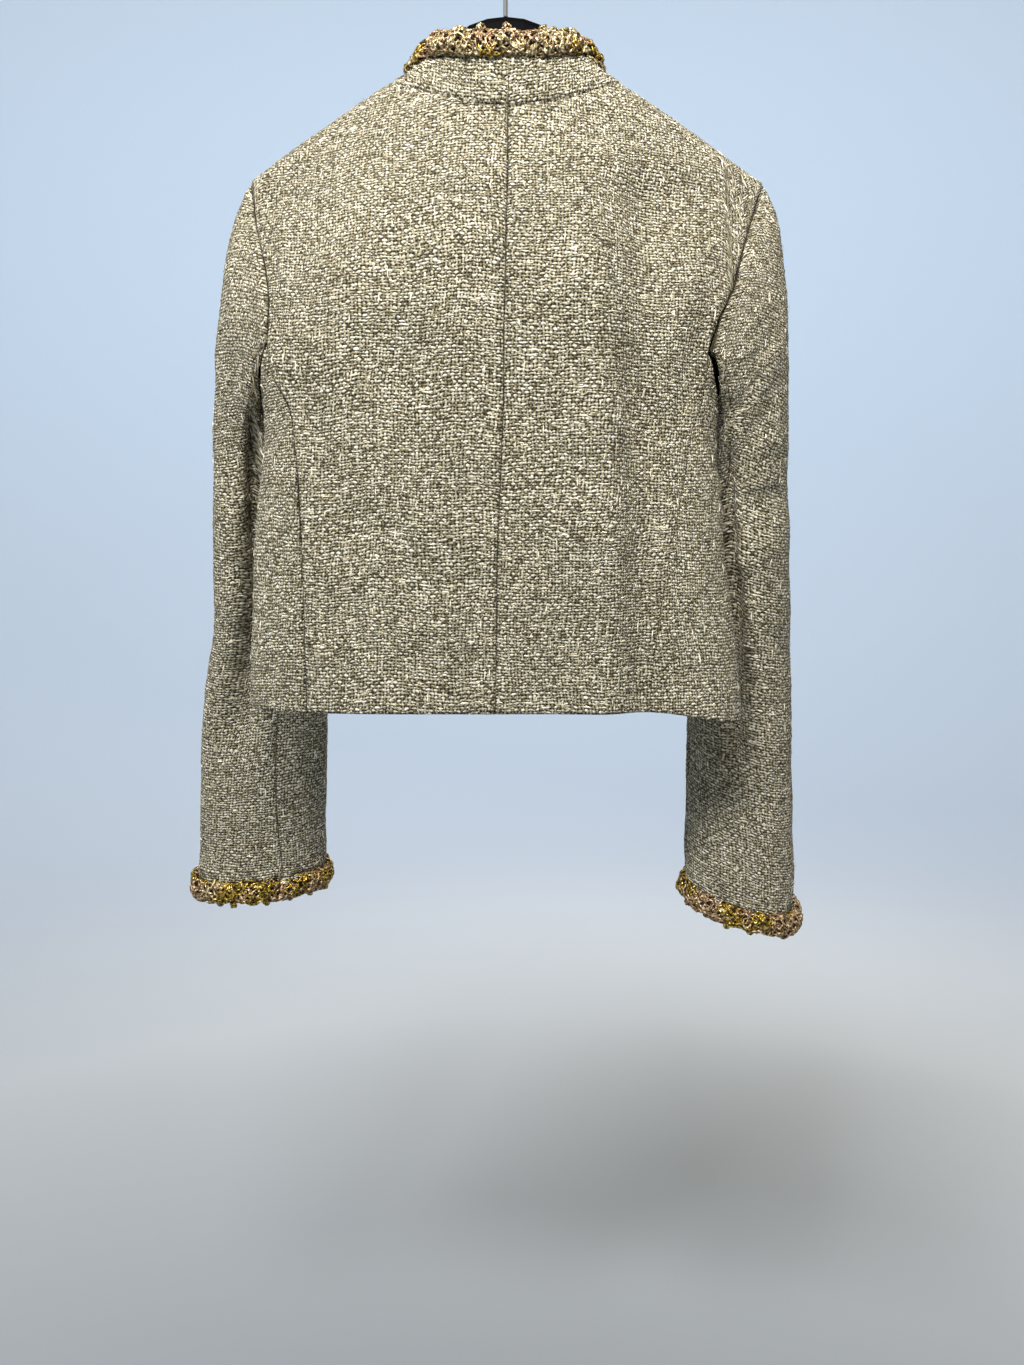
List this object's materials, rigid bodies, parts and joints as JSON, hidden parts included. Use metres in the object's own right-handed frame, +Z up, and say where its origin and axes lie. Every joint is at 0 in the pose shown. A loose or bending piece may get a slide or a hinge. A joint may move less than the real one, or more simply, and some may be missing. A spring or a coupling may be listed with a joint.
{
  "type": "cropped tweed jacket on a hanger",
  "caption": "Cropped tweed jacket with a short stand collar and crocheted metallic edging, hollow and open at neck, hem and cuffs, hanging on a contoured hanger with a wire hook.",
  "frame": {"origin": "inner top of the hanger's hook, where the rail touches it", "axes": "+Z up as it hangs, the jacket's front faces -Y, the wearer's left is +X"},
  "size_m": [0.5668, 0.2296, 0.8404],
  "materials": {
    "tweed": "nubby beige, cream and olive tweed",
    "crochet": "crocheted gold and tan metallic cord",
    "hanger_black": "smooth black",
    "hook_steel": "plain steel wire"
  },
  "bodies": {
    "root": {"back_left": "tweed", "back_right": "tweed", "side_left": "tweed", "side_right": "tweed", "front_left": "tweed", "front_right": "tweed", "collar_left": "tweed", "collar_right": "tweed", "sleeve_left_upper": "tweed", "sleeve_left_under": "tweed", "sleeve_right_upper": "tweed", "sleeve_right_under": "tweed", "collar_trim": "crochet", "cuff_trim_left": "crochet", "cuff_trim_right": "crochet", "hanger": "hanger_black", "hanger_hook": "hook_steel"}
  },
  "joints": []
}
